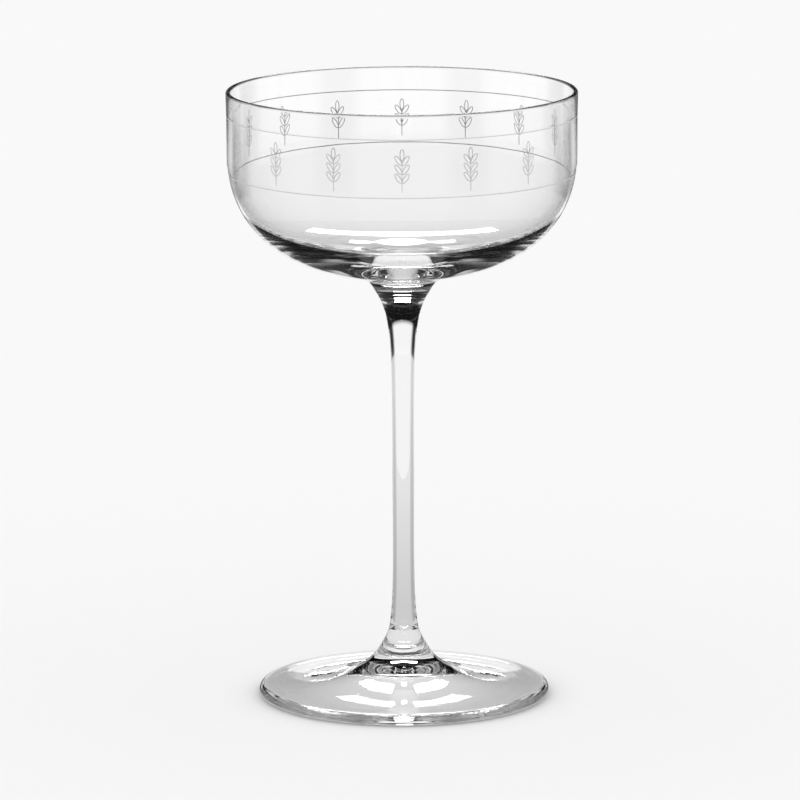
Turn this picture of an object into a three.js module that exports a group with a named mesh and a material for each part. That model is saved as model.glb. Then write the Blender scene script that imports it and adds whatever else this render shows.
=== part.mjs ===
// A champagne coupe in clear glass: a shallow blown bowl, a drawn stem and a spun foot,
// welded end to end while hot. Millimetres, +Z up, origin at the centre of the face it rests on.
import * as THREE from "three";

// Bowl
const BOWL_HEIGHT = 55.5; // from the weld on the stem to the top of the rim
const CURVE_HEIGHT = 35.2; // from the lowest of the curve to where the side begins
const RIM_RADIUS = 48; // outside
const RIM_FLARE = 0.24; // how far the side opens towards the rim
const SQUARENESS = 2.345; // of the bowl's outer curve: 2 is an ellipse, more is fuller
const INSIDE_SQUARENESS = 2.9; // of the inner curve, which leaves the base thick
const RIM_WALL = 1.4; // fire-polished to a half round
const SIDE_WALL = 1.7;
const BASE_WALL = 5.5; // over the neck
const NECK_HEIGHT = 4.05; // from the weld to the lowest of the bowl's curve
const NECK_SPREAD = 2.1; // outward distance in which the neck falls away to about a third

// Stem
const STEM_LENGTH = 94.5; // from weld to weld
const HEAD_RADIUS = 7.5; // where it is welded to the bowl's neck
const HEAD_SHAFT_RADIUS = 3.3; // of the shaft under the head's flare
const HEAD_FLARE_LENGTH = 6.1; // in which the flare shrinks to about a third
const TAIL_RADIUS = 4.05; // where it is welded to the foot
const TAIL_SHAFT_RADIUS = 2.68;
const TAIL_FLARE_LENGTH = 7.6;

// Foot
const FOOT_HEIGHT = 18.5; // from the table to the weld on the stem
const FOOT_RADIUS = 40;
const EDGE_THICKNESS = 3.2;
const EDGE_ROUNDING = 2; // how far the rounded edge reaches in
const PLATE_RISE = 4; // of the plate's top, from its edge to its middle
const PLATE_BEND = 1.3; // of that rise: 1 is straight, more is steeper towards the middle
const CONE_SPREAD = 4.8; // outward distance in which the cone falls to about a third
const REST_INNER_RADIUS = 35; // inside of the flat ring that stands on the table
const HOLLOW_DEPTH = 1.5; // of the flat cone under the plate, inside that ring
const KICK_HEIGHT = 6.5; // of the rounded middle that is pushed up further
const KICK_RADIUS = 20; // at which that middle has fallen to about a third

// Steps round the axis and along the profiles
const TURN_STEPS = 48;
const BOWL_STEPS = 18;
const SIDE_STEPS = 4;
const RIM_STEPS = 6;
const STEM_STEPS = 26;
const EDGE_STEPS = 8;
const CONE_STEPS = 14;
const HOLLOW_STEPS = 12;
const CROWDING = 1.5; // of a profile's points towards the axis: 1 is even

// Where the bowl's curve ends and its flared side begins
const SIDE_RADIUS = RIM_RADIUS - RIM_FLARE;
const SIDE_HEIGHT = NECK_HEIGHT + CURVE_HEIGHT;

// Where the foot's rounded edge begins
const PLATE_RADIUS = FOOT_RADIUS - EDGE_ROUNDING;

function glass() {
  return new THREE.MeshStandardMaterial({
    color: 0xf2f4f4,
    roughness: 0.02,
    metalness: 0,
    transparent: true,
    opacity: 0.35,
  });
}

// Calls makePoint with steps + 1 even shares from 0 to 1.
function pointsAlong(steps, makePoint) {
  return Array.from({ length: steps + 1 }, (_, i) => makePoint(i / steps));
}

// Turns a profile of radius and height round the Z axis.
function turnedPiece(name, profile, height) {
  const geometry = new THREE.LatheGeometry(profile, TURN_STEPS).rotateX(Math.PI / 2);
  const piece = new THREE.Mesh(geometry, glass());
  piece.name = name;
  piece.position.z = height;
  return piece;
}

// The bowl's curve from a radius near the axis out to the side: a superellipse.
function bowlCurve(startRadius, lowest, sideRadius, squareness) {
  const power = 2 / squareness;
  const start = Math.asin((startRadius / sideRadius) ** (1 / power));
  return pointsAlong(BOWL_STEPS, (share) => {
    const angle = THREE.MathUtils.lerp(start, Math.PI / 2, share ** CROWDING);
    const height = THREE.MathUtils.lerp(SIDE_HEIGHT, lowest, Math.cos(angle) ** power);
    return new THREE.Vector2(sideRadius * Math.sin(angle) ** power, height);
  });
}

// The outside of the bowl: its curve, drawn down into a neck over the stem.
function bowlOutside() {
  const curve = bowlCurve(HEAD_RADIUS, NECK_HEIGHT, SIDE_RADIUS, SQUARENESS);
  const neckDrop = curve[0].y;
  for (const point of curve) {
    point.y -= neckDrop * Math.exp((HEAD_RADIUS - point.x) / NECK_SPREAD);
  }
  return curve;
}

// The half round that closes the wall at the rim, from the outside in.
function rimRound() {
  const radius = RIM_WALL / 2;
  return pointsAlong(RIM_STEPS, (share) => {
    const across = RIM_RADIUS - radius + radius * Math.cos(share * Math.PI);
    const up = BOWL_HEIGHT - radius + radius * Math.sin(share * Math.PI);
    return new THREE.Vector2(across, up);
  });
}

// The side between the end of a curve and the rim, opening a little faster towards the rim.
function flaredSide(from, to) {
  const points = pointsAlong(SIDE_STEPS, (share) => {
    const across = THREE.MathUtils.lerp(from.x, to.x, share ** 2);
    return new THREE.Vector2(across, THREE.MathUtils.lerp(from.y, to.y, share));
  });
  return points.slice(1, -1);
}

function makeBowl() {
  const outside = bowlOutside();
  const rim = rimRound();
  const innerRadius = SIDE_RADIUS - SIDE_WALL;
  const inside = bowlCurve(0, NECK_HEIGHT + BASE_WALL, innerRadius, INSIDE_SQUARENESS).reverse();
  const outerSide = flaredSide(outside.at(-1), rim[0]);
  const innerSide = flaredSide(inside[0], rim.at(-1)).reverse();
  const weldCentre = new THREE.Vector2(0, 0);
  const profile = [weldCentre, ...outside, ...outerSide, ...rim, ...innerSide, ...inside];
  return turnedPiece("bowl", profile, FOOT_HEIGHT + STEM_LENGTH);
}

// A slow taper, with a flare that dies away from each welded end.
function stemRadius(height) {
  const taper = THREE.MathUtils.lerp(TAIL_SHAFT_RADIUS, HEAD_SHAFT_RADIUS, height / STEM_LENGTH);
  const head = (HEAD_RADIUS - HEAD_SHAFT_RADIUS) * Math.exp((height - STEM_LENGTH) / HEAD_FLARE_LENGTH);
  const tail = (TAIL_RADIUS - TAIL_SHAFT_RADIUS) * Math.exp(-height / TAIL_FLARE_LENGTH);
  return taper + head + tail;
}

function makeStem() {
  const side = pointsAlong(STEM_STEPS, (share) => {
    const height = (STEM_LENGTH * (1 - Math.cos(share * Math.PI))) / 2; // closest at the ends
    return new THREE.Vector2(stemRadius(height), height);
  });
  const profile = [new THREE.Vector2(0, 0), ...side, new THREE.Vector2(0, STEM_LENGTH)];
  return turnedPiece("stem", profile, FOOT_HEIGHT);
}

// The hollow underside, from its pushed-up middle out to the flat ring.
function footHollow() {
  return pointsAlong(HOLLOW_STEPS, (share) => {
    const radius = REST_INNER_RADIUS * share;
    const kick = KICK_HEIGHT * (1 - share ** 2) * Math.exp(-((radius / KICK_RADIUS) ** 2));
    return new THREE.Vector2(radius, HOLLOW_DEPTH * (1 - share) + kick);
  });
}

// The rounded edge, from the flat ring up to the top of the plate.
function footEdge() {
  return pointsAlong(EDGE_STEPS, (share) => {
    const angle = (share - 0.5) * Math.PI;
    const across = PLATE_RADIUS + EDGE_ROUNDING * Math.cos(angle);
    return new THREE.Vector2(across, (EDGE_THICKNESS * (1 + Math.sin(angle))) / 2);
  });
}

// The top of the plate, rising from its edge towards the middle.
function plateTop(radius) {
  const inward = 1 - radius / PLATE_RADIUS;
  return EDGE_THICKNESS + PLATE_RISE * inward ** PLATE_BEND;
}

// The cone that sweeps up from the plate to meet the stem.
function footCone() {
  const coneHeight = FOOT_HEIGHT - plateTop(TAIL_RADIUS);
  const end = Math.exp((TAIL_RADIUS - PLATE_RADIUS) / CONE_SPREAD);
  return pointsAlong(CONE_STEPS, (share) => {
    const radius = THREE.MathUtils.lerp(TAIL_RADIUS, PLATE_RADIUS, (1 - share) ** CROWDING);
    const rise = (Math.exp((TAIL_RADIUS - radius) / CONE_SPREAD) - end) / (1 - end);
    return new THREE.Vector2(radius, plateTop(radius) + coneHeight * rise);
  });
}

function makeFoot() {
  const weldCentre = new THREE.Vector2(0, FOOT_HEIGHT);
  const profile = [...footHollow(), ...footEdge(), ...footCone(), weldCentre];
  return turnedPiece("foot", profile, 0);
}

const coupe = new THREE.Group();
coupe.name = "champagne_coupe";
coupe.add(makeFoot(), makeStem(), makeBowl());

export default coupe;
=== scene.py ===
import math

import bpy
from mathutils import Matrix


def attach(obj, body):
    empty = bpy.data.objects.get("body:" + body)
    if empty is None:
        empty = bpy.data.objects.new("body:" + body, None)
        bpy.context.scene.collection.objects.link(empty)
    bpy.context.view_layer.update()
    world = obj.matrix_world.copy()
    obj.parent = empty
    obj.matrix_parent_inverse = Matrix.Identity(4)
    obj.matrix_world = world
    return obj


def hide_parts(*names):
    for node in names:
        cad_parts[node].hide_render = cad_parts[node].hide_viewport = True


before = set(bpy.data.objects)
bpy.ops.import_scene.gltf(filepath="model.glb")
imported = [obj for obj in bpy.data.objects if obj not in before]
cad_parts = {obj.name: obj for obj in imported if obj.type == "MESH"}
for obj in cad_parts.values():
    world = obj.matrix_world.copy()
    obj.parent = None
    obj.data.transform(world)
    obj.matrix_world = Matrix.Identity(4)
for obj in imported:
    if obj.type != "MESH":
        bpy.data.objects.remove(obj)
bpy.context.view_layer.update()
MM = 0.001


# The view: a long lens, a little above the rim, looking down on the coupe
# as it stands on the table.
VIEW_FROM = (0, -1694.7 * MM, 409.3 * MM)
VIEW_DOWN = 10.913  # degrees
VIEW_ROLL = -0.22
LENS = 282.72
SENSOR = 36
SHIFT = -0.0037  # of the sensor's width

bpy.ops.object.camera_add(location=VIEW_FROM)
camera = bpy.context.object
camera.name = "view_camera"
camera.rotation_mode = "ZXY"
camera.rotation_euler = (math.radians(90 - VIEW_DOWN), 0, math.radians(VIEW_ROLL))
camera.data.lens = LENS
camera.data.sensor_width = SENSOR
camera.data.shift_x = SHIFT
bpy.context.scene.camera = camera
bpy.context.scene.view_settings.view_transform = "Standard"

# Light goes to and fro many times inside thick clear glass before it comes out.
GLASS_BOUNCES = 32
cycles = bpy.context.scene.cycles
cycles.max_bounces = GLASS_BOUNCES
cycles.transmission_bounces = GLASS_BOUNCES
cycles.glossy_bounces = GLASS_BOUNCES
cycles.transparent_max_bounces = GLASS_BOUNCES


# The room: white where it meets the table and black above, as glass is photographed, with
# black screens in its four corners. The glass shows that room; the table has an even light.
ROOM_WHITE = 0.94
ROOM_BLACK = 0.004
DARK_START = 0.004  # sine of the height at which the room begins to darken
DARK_END = 0.05
LANE_START = 0.03  # squared cosine of twice the turn away from a side of the room
LANE_END = 0.4
CORNER_TONE = 0.03
TABLE_LIGHT = 1.1
HALF = 0.5  # between no and yes


def add_node(tree, kind, links=(), **settings):
    node = tree.nodes.new(kind)
    for name, value in settings.items():
        label = name.replace("_", " ")
        if label in node.inputs:
            node.inputs[label].default_value = value
        else:
            setattr(node, name, value)
    for socket, source in dict(links).items():
        if isinstance(source, (int, float)):
            node.inputs[socket].default_value = source
        else:
            tree.links.new(getattr(source, "outputs", [source])[0], node.inputs[socket])
    return node


def corner_darkness(tree, direction):
    # 0 towards the front, back, left and right, 1 towards the corners between them
    squares = add_node(tree, "ShaderNodeVectorMath", {0: direction, 1: direction}, operation="MULTIPLY")
    parts = add_node(tree, "ShaderNodeSeparateXYZ", {"Vector": squares}).outputs
    more = add_node(tree, "ShaderNodeMath", {0: parts["Y"], 1: parts["X"]}, operation="SUBTRACT")
    both = add_node(tree, "ShaderNodeMath", {0: parts["Y"], 1: parts["X"]}, operation="ADD")
    ratio = add_node(tree, "ShaderNodeMath", {0: more, 1: both}, operation="DIVIDE")
    lane = add_node(tree, "ShaderNodeMath", {0: ratio, 1: ratio}, operation="MULTIPLY")
    return add_node(tree, "ShaderNodeMapRange", {"Value": lane}, interpolation_type="SMOOTHSTEP",
                    From_Min=LANE_START, From_Max=LANE_END, To_Min=1, To_Max=0)


world = bpy.data.worlds.new("studio_room")
bpy.context.scene.world = world
world.use_nodes = True
world.cycles.sampling_method = "NONE"
tree = world.node_tree
tree.nodes.clear()
direction = add_node(tree, "ShaderNodeTexCoord").outputs["Generated"]
parts = add_node(tree, "ShaderNodeSeparateXYZ", {"Vector": direction}).outputs
walls = add_node(tree, "ShaderNodeMapRange", {"Value": parts["Z"]},
                 From_Min=DARK_START, From_Max=DARK_END, To_Min=ROOM_WHITE, To_Max=ROOM_BLACK)
darkness = corner_darkness(tree, direction)
dark_screens_and_painted_shade = add_node(tree, "ShaderNodeMapRange", {"Value": darkness}, To_Min=1, To_Max=CORNER_TONE)
walls = add_node(tree, "ShaderNodeMath", {0: walls, 1: dark_screens_and_painted_shade}, operation="MULTIPLY")
path = add_node(tree, "ShaderNodeLightPath").outputs
on_table = add_node(tree, "ShaderNodeMath", {0: path["Diffuse Depth"], 1: HALF}, operation="GREATER_THAN")
plain = add_node(tree, "ShaderNodeMath", {0: path["Is Camera Ray"], 1: on_table}, operation="MAXIMUM")
even_light = add_node(tree, "ShaderNodeMapRange", {"Value": on_table}, To_Min=1, To_Max=TABLE_LIGHT)
level = add_node(tree, "ShaderNodeMix", {"Factor": plain, "A": walls, "B": even_light})
light = add_node(tree, "ShaderNodeBackground", {"Strength": level}, Color=(1, 1, 1, 1))
add_node(tree, "ShaderNodeOutputWorld", {"Surface": light})


# The lamps, which only the glass shows: a soft box overhead, a little behind the coupe, and
# a small white card that stands on the table behind the stem.
SOFT_BOX_HEIGHT = 1.0  # metres, as for all that stands round the coupe
SOFT_BOX_NEAR = 0.95
SOFT_BOX_FAR = 1.5
SOFT_BOX_HALF_WIDTH = 0.32
SOFT_BOX_LEVEL = 12.0
CARD_AWAY = 0.3
CARD_HEIGHT = 0.055
CARD_HALF_WIDTH = 0.16
CARD_GAP = 0.001
CARD_LEVEL = 0.94


def lamp(name, half_width, near_edge, far_edge, strength):
    bpy.ops.object.select_all(action="DESELECT")
    bpy.ops.mesh.primitive_plane_add(size=1)
    box = bpy.context.object
    box.name = name
    corners = [(side * half_width, *edge) for edge in (near_edge, far_edge) for side in (-1, 1)]
    for corner, place in zip(box.data.vertices, corners):
        corner.co = place
    cloth = bpy.data.materials.new(name + "_cloth")
    cloth.use_nodes = True
    tree = cloth.node_tree
    tree.nodes.clear()
    path = add_node(tree, "ShaderNodeLightPath").outputs
    off_table = add_node(tree, "ShaderNodeMath", {0: path["Diffuse Depth"], 1: HALF}, operation="LESS_THAN")
    level = add_node(tree, "ShaderNodeMath", {0: off_table, 1: strength}, operation="MULTIPLY")
    glow = add_node(tree, "ShaderNodeEmission", {"Strength": level})
    add_node(tree, "ShaderNodeOutputMaterial", {"Surface": glow})
    box.data.materials.append(cloth)
    box.visible_camera = False
    box.visible_diffuse = False
    box.visible_shadow = False


lamp("soft_box", SOFT_BOX_HALF_WIDTH, (SOFT_BOX_NEAR, SOFT_BOX_HEIGHT), (SOFT_BOX_FAR, SOFT_BOX_HEIGHT),
     SOFT_BOX_LEVEL)
lamp("white_card", CARD_HALF_WIDTH, (CARD_AWAY, CARD_GAP), (CARD_AWAY, CARD_HEIGHT), CARD_LEVEL)


# The table: a matt white sheet with a painted soft shadow where the foot stands. The glass shows it glowing
# with painted light:
# white far off, with painted shade that makes it greyer near by and dark in the corners, where black
# screens stand in the room.
TABLE_SIZE = 40.0
BACKGROUND = "#f9f9f9"
NEAR = 0.08  # from the middle of the foot
FAR = 0.5
# painted light of the table as the glass shows it: greyer near by as painted shade, white far off
NEAR_TONE = 0.62
FAR_TONE = 0.99
NEAR_CORNER = 0.35  # share of the corners' painted shade that is left near by
# distance from the foot over which the painted corner shade grows to its full darkness
PAINTED_CORNER_START = 0.7
PAINTED_CORNER_END = 0.8
MIRROR_TONE = 0.15  # painted shade: share of the table's painted light that the glass mirrors
UNDER_TONE = 0.84  # painted light of the sheet that is seen through the foot
UNDER_START = 0.038
UNDER_END = 0.046
CONTACT = 0.014  # reach of the painted contact shadow round the foot
CONTACT_TONE = 0.62


def linear(hex_colour):
    channels = [int(hex_colour[i:i + 2], 16) / 255 for i in (1, 3, 5)]
    return [c / 12.92 if c <= 0.04045 else ((c + 0.055) / 1.055) ** 2.4 for c in channels] + [1.0]


bpy.ops.object.select_all(action="DESELECT")
bpy.ops.mesh.primitive_plane_add(size=TABLE_SIZE)
table = bpy.context.object
table.name = "table"
paper = bpy.data.materials.new("matt_white_paper")
paper.use_nodes = True
tree = paper.node_tree
tree.nodes.clear()
place = add_node(tree, "ShaderNodeTexCoord").outputs["Object"]
away = add_node(tree, "ShaderNodeVectorMath", {0: place}, operation="LENGTH").outputs["Value"]
painted_table_light = add_node(tree, "ShaderNodeMapRange", {"Value": away},
                From_Min=NEAR, From_Max=FAR, To_Min=NEAR_TONE, To_Max=FAR_TONE)
# Painted shade: the table's glow is darkened in the corners, partly near by and fully far off.
dark_screens_and_painted_shade = add_node(tree, "ShaderNodeMapRange", {"Value": away}, interpolation_type="SMOOTHSTEP",
                   From_Min=PAINTED_CORNER_START, From_Max=PAINTED_CORNER_END, To_Min=NEAR_CORNER, To_Max=1)
darkness = corner_darkness(tree, place)
darkness = add_node(tree, "ShaderNodeMath", {0: darkness, 1: dark_screens_and_painted_shade}, operation="MULTIPLY")
corners = add_node(tree, "ShaderNodeMapRange", {"Value": darkness}, To_Min=1, To_Max=CORNER_TONE)
path = add_node(tree, "ShaderNodeLightPath").outputs
mirrored = add_node(tree, "ShaderNodeMapRange", {"Value": path["Is Reflection Ray"]},
                    To_Min=1, To_Max=MIRROR_TONE)
for dimmer in (corners, mirrored):
    painted_table_light = add_node(tree, "ShaderNodeMath", {0: painted_table_light, 1: dimmer}, operation="MULTIPLY")
under_foot = add_node(tree, "ShaderNodeMapRange", {"Value": away}, interpolation_type="SMOOTHSTEP",
                      From_Min=UNDER_START, From_Max=UNDER_END, To_Min=UNDER_TONE, To_Max=0)
painted_table_light = add_node(tree, "ShaderNodeMath", {0: painted_table_light, 1: under_foot}, operation="MAXIMUM")
in_glass = add_node(tree, "ShaderNodeMath", {0: path["Is Transmission Ray"], 1: path["Is Glossy Ray"]},
                    operation="MAXIMUM")
off_table = add_node(tree, "ShaderNodeMath", {0: path["Diffuse Depth"], 1: HALF}, operation="LESS_THAN")
in_glass = add_node(tree, "ShaderNodeMath", {0: in_glass, 1: off_table}, operation="MULTIPLY")
# Painted contact shadow: ambient occlusion darkens the sheet's own colour round the foot.
shadow = add_node(tree, "ShaderNodeAmbientOcclusion", Distance=CONTACT)
white = linear(BACKGROUND)[0] / TABLE_LIGHT
sheet = add_node(tree, "ShaderNodeMapRange", {"Value": shadow.outputs["AO"]},
                 To_Min=CONTACT_TONE * white, To_Max=white)
matt = add_node(tree, "ShaderNodeBsdfDiffuse", {"Color": sheet})
# For glass rays the table glows with its painted light, though it is no lamp.
painted_light_in_glass = add_node(tree, "ShaderNodeEmission", {"Strength": painted_table_light})
look = add_node(tree, "ShaderNodeMixShader", {"Fac": in_glass, 1: matt, 2: painted_light_in_glass})
add_node(tree, "ShaderNodeOutputMaterial", {"Surface": look})
paper.cycles.emission_sampling = "NONE"
table.data.materials.append(paper)


# The foot: a gather of clear glass spun out flat on the end of the stem, its middle drawn
# up into a cone and its underside pushed in, so that it stands on a flat ring.
FOOT_HEIGHT = 18.5 * MM
FOOT_RADIUS = 40 * MM
EDGE_THICKNESS = 3.2 * MM
EDGE_ROUNDING = 2 * MM
PLATE_RISE = 4 * MM
PLATE_BEND = 1.3
CONE_SPREAD = 4.8 * MM
REST_INNER_RADIUS = 37.2 * MM
HOLLOW_DEPTH = 1.5 * MM
KICK_HEIGHT = 6.5 * MM
KICK_RADIUS = 20 * MM
TAIL_RADIUS = 4.05 * MM
PLATE_RADIUS = FOOT_RADIUS - EDGE_ROUNDING
FOOT_RIPPLES = {"around": 20 * MM, "upward": 1 * MM, "outward": 1.5 * MM}
FOOT_RIPPLE_HEIGHT = 0.02 * MM
HOLLOW_STEPS = 90
EDGE_STEPS = 36
CONE_STEPS = 140
CROWDING = 1.5  # brings the points closer together where the curve is tight
TURN_STEPS = 256
MERGE_DISTANCE = 0.001 * MM
SMOOTH_ANGLE = 35  # degrees
GLASS_IOR = 1.52
CLEAR = "#ffffff"


def shares(count):
    return [i / count for i in range(count + 1)]


def mix(a, b, share):
    return a + (b - a) * share


def turned_piece(name, profile, lift):
    bpy.ops.object.select_all(action="DESELECT")
    bpy.ops.mesh.primitive_plane_add(size=MM)
    piece = bpy.context.object
    piece.name = name
    bpy.ops.object.mode_set(mode="EDIT")
    bpy.ops.mesh.merge(type="CENTER")
    bpy.ops.transform.translate(value=(profile[0][0], 0, profile[0][1] + lift))
    for (r0, z0), (r1, z1) in zip(profile, profile[1:]):
        bpy.ops.mesh.extrude_region_move(TRANSFORM_OT_translate={"value": (r1 - r0, 0, z1 - z0)})
    bpy.ops.object.mode_set(mode="OBJECT")
    bpy.ops.object.modifier_add(type="SCREW")
    lathe = piece.modifiers[-1]
    lathe.steps = TURN_STEPS
    lathe.render_steps = TURN_STEPS
    bpy.ops.object.modifier_apply(modifier=lathe.name)
    bpy.ops.object.mode_set(mode="EDIT")
    bpy.ops.mesh.select_all(action="SELECT")
    bpy.ops.mesh.remove_doubles(threshold=MERGE_DISTANCE)
    bpy.ops.mesh.normals_make_consistent(inside=False)
    bpy.ops.object.mode_set(mode="OBJECT")
    bpy.ops.object.shade_smooth_by_angle(angle=math.radians(SMOOTH_ANGLE))
    return piece


# Clear fire-polished soda-lime glass: colourless unless given a painted shade, and quite smooth, with the
# faint ripples that working it hot has left, which make edges and reflections waver a little.
def clear_glass(name, around, upward, outward, ripple_height, colour=CLEAR):
    glass = bpy.data.materials.new(name)
    glass.use_nodes = True
    tree = glass.node_tree
    tree.nodes.clear()
    place = add_node(tree, "ShaderNodeTexCoord").outputs["Object"]
    steps = add_node(tree, "ShaderNodeVectorMath", {0: place}, operation="MULTIPLY")
    steps.inputs[1].default_value = (1 / around, 1 / around, 1 / upward)
    level = add_node(tree, "ShaderNodeVectorMath", {0: place}, operation="MULTIPLY")
    level.inputs[1].default_value = (1, 1, 0)
    radius = add_node(tree, "ShaderNodeVectorMath", {0: level}, operation="LENGTH").outputs["Value"]
    ring = add_node(tree, "ShaderNodeMath", {0: radius, 1: outward}, operation="DIVIDE")
    ripples = add_node(tree, "ShaderNodeTexNoise", {"Vector": steps, "W": ring}, noise_dimensions="4D",
                       Scale=1)
    surface = add_node(tree, "ShaderNodeBump", {"Height": ripples}, Strength=1, Distance=ripple_height)
    body = add_node(tree, "ShaderNodeBsdfPrincipled", {"Normal": surface}, Base_Color=linear(colour),
                    Transmission_Weight=1, Roughness=0, IOR=GLASS_IOR)
    add_node(tree, "ShaderNodeOutputMaterial", {"Surface": body})
    return glass


# Where two pieces were fused while hot nothing is left to see of the faces between them.
fused = bpy.data.materials.new("fused_weld")
fused.use_nodes = True
tree = fused.node_tree
tree.nodes.clear()
nothing = add_node(tree, "ShaderNodeBsdfTransparent")
add_node(tree, "ShaderNodeOutputMaterial", {"Surface": nothing})


def glaze(piece, glass, weld_heights):
    piece.data.materials.append(glass)
    piece.data.materials.append(fused)
    for face in piece.data.polygons:
        if any(abs(face.center.z - weld) < MERGE_DISTANCE for weld in weld_heights):
            face.material_index = 1


def foot_profile():
    hollow = []
    for s in shares(HOLLOW_STEPS):
        radius = REST_INNER_RADIUS * s
        kick = KICK_HEIGHT * (1 - s ** 2) * math.exp(-(radius / KICK_RADIUS) ** 2)
        hollow.append((radius, HOLLOW_DEPTH * (1 - s) + kick))
    edge = []
    for s in shares(EDGE_STEPS):
        angle = mix(-math.pi / 2, math.pi / 2, s)
        height = EDGE_THICKNESS * (1 + math.sin(angle)) / 2
        edge.append((PLATE_RADIUS + EDGE_ROUNDING * math.cos(angle), height))

    def plate_top(radius):
        return EDGE_THICKNESS + PLATE_RISE * (1 - radius / PLATE_RADIUS) ** PLATE_BEND

    tip = math.exp((TAIL_RADIUS - PLATE_RADIUS) / CONE_SPREAD)
    cone = []
    for s in shares(CONE_STEPS)[1:]:
        radius = mix(PLATE_RADIUS, TAIL_RADIUS, 1 - (1 - s) ** CROWDING)
        rise = (math.exp((TAIL_RADIUS - radius) / CONE_SPREAD) - tip) / (1 - tip)
        cone.append((radius, plate_top(radius) + (FOOT_HEIGHT - plate_top(TAIL_RADIUS)) * rise))
    return hollow + edge + cone + [(0, FOOT_HEIGHT)]


foot = turned_piece("spun_foot", foot_profile(), 0)
foot_glass = clear_glass("spun_foot_glass", ripple_height=FOOT_RIPPLE_HEIGHT, **FOOT_RIPPLES)
glaze(foot, foot_glass, [FOOT_HEIGHT])
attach(foot, "root")
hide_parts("foot")


# The stem: a rod of clear glass drawn down from a gather, flared where each end was fused
# to its neighbour while hot. Drawing leaves faint lines along it.
STEM_LENGTH = 94.5 * MM
HEAD_RADIUS = 7.5 * MM
HEAD_SHAFT_RADIUS = 3.3 * MM
HEAD_FLARE_LENGTH = 6.1 * MM
TAIL_SHAFT_RADIUS = 2.68 * MM
TAIL_FLARE_LENGTH = 7.6 * MM
HEAD_WELD = FOOT_HEIGHT + STEM_LENGTH  # height at which the bowl is fused on
STEM_RIPPLES = {"around": 1.5 * MM, "upward": 40 * MM, "outward": 40 * MM}
STEM_RIPPLE_HEIGHT = 0.006 * MM
STEM_STEPS = 160


def stem_radius(height):
    taper = mix(TAIL_SHAFT_RADIUS, HEAD_SHAFT_RADIUS, height / STEM_LENGTH)
    head = (HEAD_RADIUS - HEAD_SHAFT_RADIUS) * math.exp((height - STEM_LENGTH) / HEAD_FLARE_LENGTH)
    tail = (TAIL_RADIUS - TAIL_SHAFT_RADIUS) * math.exp(-height / TAIL_FLARE_LENGTH)
    return taper + head + tail


heights = [STEM_LENGTH * (1 - math.cos(s * math.pi)) / 2 for s in shares(STEM_STEPS)]
stem_profile = [(0, 0)] + [(stem_radius(h), h) for h in heights] + [(0, STEM_LENGTH)]
stem = turned_piece("drawn_stem", stem_profile, FOOT_HEIGHT)
stem_glass = clear_glass("drawn_stem_glass", ripple_height=STEM_RIPPLE_HEIGHT, **STEM_RIPPLES)
glaze(stem, stem_glass, [FOOT_HEIGHT, HEAD_WELD])
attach(stem, "root")
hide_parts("stem")


# The bowl: clear glass blown in a mould, cracked off and fire-polished at the rim, and
# fused to the head of the stem, which has drawn a shallow dimple into its base.
BOWL_HEIGHT = 55.5 * MM
CURVE_HEIGHT = 35.2 * MM
RIM_RADIUS = 48 * MM
RIM_FLARE = 0.24 * MM
SQUARENESS = 2.345
INSIDE_SQUARENESS = 2.9
RIM_WALL = 1.4 * MM
RIM_DEPTH = 0.3 * MM  # of the rim's painted grey shade
RIM_PAINTED_SHADE = "#808080"
SIDE_WALL = 1.7 * MM
BASE_WALL = 5.5 * MM
DIMPLE_DEPTH = 2 * MM
DIMPLE_RADIUS = 12 * MM
NECK_HEIGHT = 4.05 * MM
NECK_SPREAD = 2.1 * MM
SIDE_RADIUS = RIM_RADIUS - RIM_FLARE
SIDE_HEIGHT = NECK_HEIGHT + CURVE_HEIGHT
BOWL_TOP = HEAD_WELD + BOWL_HEIGHT
BOWL_RIPPLES = {"around": 16 * MM, "upward": 5 * MM, "outward": 8 * MM}
BOWL_RIPPLE_HEIGHT = 0.007 * MM
RIM_RIPPLE_HEIGHT = 0.001 * MM
CURVE_STEPS = 120
SIDE_STEPS = 40
RIM_STEPS = 20


def bowl_curve(start_radius, lowest, side_radius, squareness):
    power = 2 / squareness
    start = math.asin((start_radius / side_radius) ** (1 / power))
    curve = []
    for s in shares(CURVE_STEPS):
        angle = mix(start, math.pi / 2, s ** CROWDING)
        height = mix(SIDE_HEIGHT, lowest, max(0, math.cos(angle)) ** power)
        curve.append((side_radius * math.sin(angle) ** power, height))
    return curve


def flared_side(low, high):
    return [(mix(low[0], high[0], s ** 2), mix(low[1], high[1], s)) for s in shares(SIDE_STEPS)[1:-1]]


def bowl_profile():
    outside = bowl_curve(HEAD_RADIUS, NECK_HEIGHT, SIDE_RADIUS, SQUARENESS)
    drop = outside[0][1]
    outside = [(r, z - drop * math.exp((HEAD_RADIUS - r) / NECK_SPREAD)) for r, z in outside]
    lip = RIM_WALL / 2
    rim = []
    for s in shares(RIM_STEPS):
        angle = s * math.pi
        rim.append((RIM_RADIUS - lip + lip * math.cos(angle), BOWL_HEIGHT - lip + lip * math.sin(angle)))
    inside = bowl_curve(0, NECK_HEIGHT + BASE_WALL, SIDE_RADIUS - SIDE_WALL, INSIDE_SQUARENESS)
    inside = [(r, z - DIMPLE_DEPTH * math.exp(-(r / DIMPLE_RADIUS) ** 2)) for r, z in inside]
    up = flared_side(outside[-1], rim[0])
    down = flared_side(inside[-1], rim[-1])
    return [(0, 0)] + outside + up + rim + down[::-1] + inside[::-1]


bowl = turned_piece("blown_bowl", bowl_profile(), HEAD_WELD)
bowl_glass = clear_glass("blown_bowl_glass", ripple_height=BOWL_RIPPLE_HEIGHT, **BOWL_RIPPLES)
glaze(bowl, bowl_glass, [HEAD_WELD])

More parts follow.
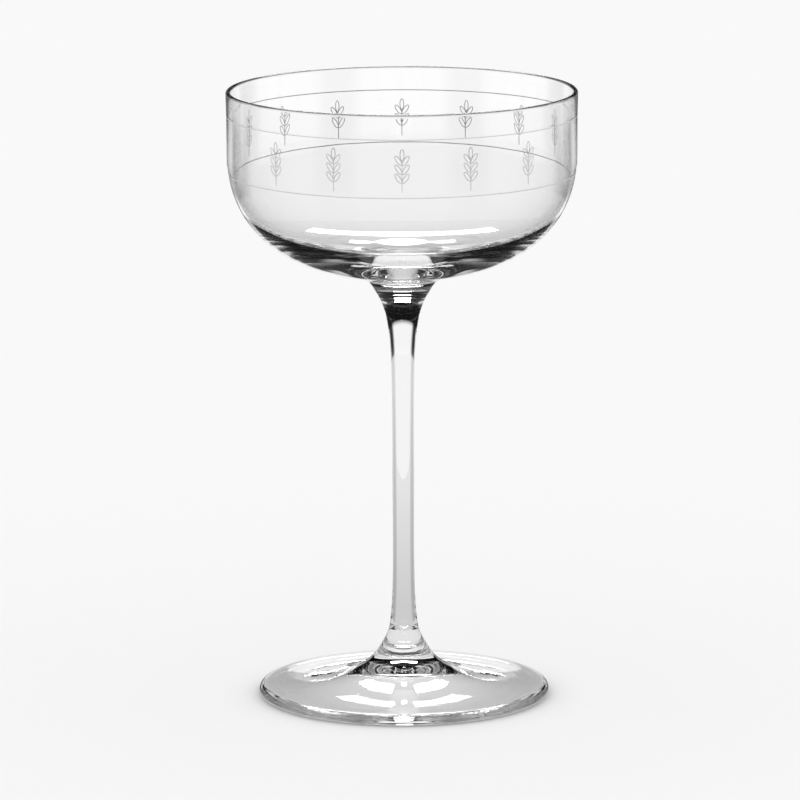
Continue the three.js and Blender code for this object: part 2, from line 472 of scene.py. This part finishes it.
# The rim was rounded in a flame. Light that enters there is led off down the wall, so that the rim looks
# grey;
# that grey is painted shade, a grey tint put into the glass of the rim.
rim_painted_shade_glass = clear_glass("flame_rounded_rim_painted_shade_glass", ripple_height=RIM_RIPPLE_HEIGHT,
                        colour=RIM_PAINTED_SHADE, **BOWL_RIPPLES)
bowl.data.materials.append(rim_painted_shade_glass)
rim_slot = len(bowl.data.materials) - 1
for face in bowl.data.polygons:
    if face.center.z > BOWL_TOP - RIM_DEPTH:
        face.material_index = rim_slot
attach(bowl, "root")
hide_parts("bowl")


# The border: two hairlines and a row of upright twigs between them, cut a little way into
# the outside of the bowl by a small stone wheel and left matt.
LINE_HALF_WIDTH = 0.13 * MM
LINE_SINK = 0.06 * MM
UPPER_LINE = 6.7 * MM  # below the rim
LOWER_LINE = 22.4 * MM
TWIG_COUNT = 16
TWIG_TIP = 9.2 * MM  # below the rim
STALK_LENGTH = 8.6 * MM
LEAF_LENGTH = 3 * MM
LEAF_WIDTH = 1.1 * MM
LEAF_LEAN = 35  # degrees from upright
LEAF_PAIRS = 3
LEAF_SPACING = 2.4 * MM
LEAF_STEPS = 3  # in each quarter of a leaf's outline
LINE_STEPS = 192
CUT_SIDES = 6


def line_radius(below_rim):
    height = BOWL_HEIGHT - below_rim
    low = max(0, SIDE_HEIGHT - height) / CURVE_HEIGHT
    high = max(0, height - SIDE_HEIGHT) / (BOWL_HEIGHT - RIM_WALL / 2 - SIDE_HEIGHT)
    return SIDE_RADIUS * (1 - low ** SQUARENESS) ** (1 / SQUARENESS) + RIM_FLARE * high ** 2 - LINE_SINK


def leaf(across, below_rim, lean):
    bpy.ops.curve.primitive_bezier_circle_add(
        radius=LEAF_LENGTH / 2, location=(across, -line_radius(below_rim), BOWL_TOP - below_rim),
        rotation=(math.pi / 2, math.radians(lean), 0))
    outline = bpy.context.object
    outline.scale = (LEAF_WIDTH / LEAF_LENGTH, 1, 1)
    bpy.ops.object.transform_apply(location=True, rotation=True, scale=True)
    outline.data.resolution_u = LEAF_STEPS
    outline.data.bevel_resolution = 0
    outline.data.bevel_depth = LINE_HALF_WIDTH
    bpy.ops.object.convert(target="MESH")
    return outline


leaf_out = LEAF_LENGTH / 2 * math.sin(math.radians(LEAF_LEAN)) + LINE_HALF_WIDTH
leaves = [leaf(0, TWIG_TIP + LEAF_LENGTH / 2, 0)]
for i in range(LEAF_PAIRS):
    below = TWIG_TIP + LEAF_LENGTH + LEAF_SPACING * i
    leaves += [leaf(leaf_out, below, LEAF_LEAN), leaf(-leaf_out, below, -LEAF_LEAN)]
stalk_middle = TWIG_TIP + LEAF_LENGTH + STALK_LENGTH / 2
bpy.ops.mesh.primitive_cylinder_add(
    vertices=CUT_SIDES, radius=LINE_HALF_WIDTH, depth=STALK_LENGTH,
    location=(0, -line_radius(stalk_middle), BOWL_TOP - stalk_middle))
stalk = bpy.context.object
bpy.ops.object.transform_apply(location=True, rotation=True, scale=True)
bpy.ops.object.select_all(action="DESELECT")
for part in leaves + [stalk]:
    part.select_set(True)
bpy.ops.object.join()
border = bpy.context.object
border.name = "engraved_border"
bpy.ops.object.mode_set(mode="EDIT")
bpy.ops.mesh.select_all(action="SELECT")
bpy.ops.mesh.spin(steps=TWIG_COUNT, dupli=True, angle=2 * math.pi, center=(0, 0, 0), axis=(0, 0, 1))
for below in (UPPER_LINE, LOWER_LINE):
    bpy.ops.mesh.primitive_torus_add(
        location=(0, 0, BOWL_TOP - below), major_radius=line_radius(below),
        minor_radius=LINE_HALF_WIDTH, major_segments=LINE_STEPS, minor_segments=CUT_SIDES)
bpy.ops.mesh.select_all(action="SELECT")
bpy.ops.mesh.remove_doubles(threshold=MERGE_DISTANCE)
bpy.ops.mesh.normals_make_consistent(inside=False)
bpy.ops.object.mode_set(mode="OBJECT")

# Stone-cut soda-lime glass: the wheel leaves a frosted groove, pale grey and matt, with uneven
# grains. Its grit is drawn coarser than it is, so that it shows.
GRIT_SIZE = 0.35 * MM
GRIT_DEPTH = 0.03 * MM
GRIT_STRENGTH = 0.5
GRIT_DARK = "#bababa"
GRIT_PALE = "#dedede"
FROSTED = 0.85
cut = bpy.data.materials.new("stone_cut_frosted_glass")
cut.use_nodes = True
tree = cut.node_tree
tree.nodes.clear()
place = add_node(tree, "ShaderNodeTexCoord").outputs["Object"]
grit = add_node(tree, "ShaderNodeTexNoise", {"Vector": place}, Scale=1 / GRIT_SIZE)
shade = add_node(tree, "ShaderNodeValToRGB", {0: grit})
for stop, colour in zip(shade.color_ramp.elements, (GRIT_DARK, GRIT_PALE)):
    stop.color = linear(colour)
bumps = add_node(tree, "ShaderNodeBump", {"Height": grit}, Strength=GRIT_STRENGTH, Distance=GRIT_DEPTH)
body = add_node(tree, "ShaderNodeBsdfPrincipled", {"Base Color": shade, "Normal": bumps},
                Roughness=FROSTED, IOR=GLASS_IOR)
add_node(tree, "ShaderNodeOutputMaterial", {"Surface": body})
border.data.materials.clear()
border.data.materials.append(cut)
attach(border, "root")
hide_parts("bowl")
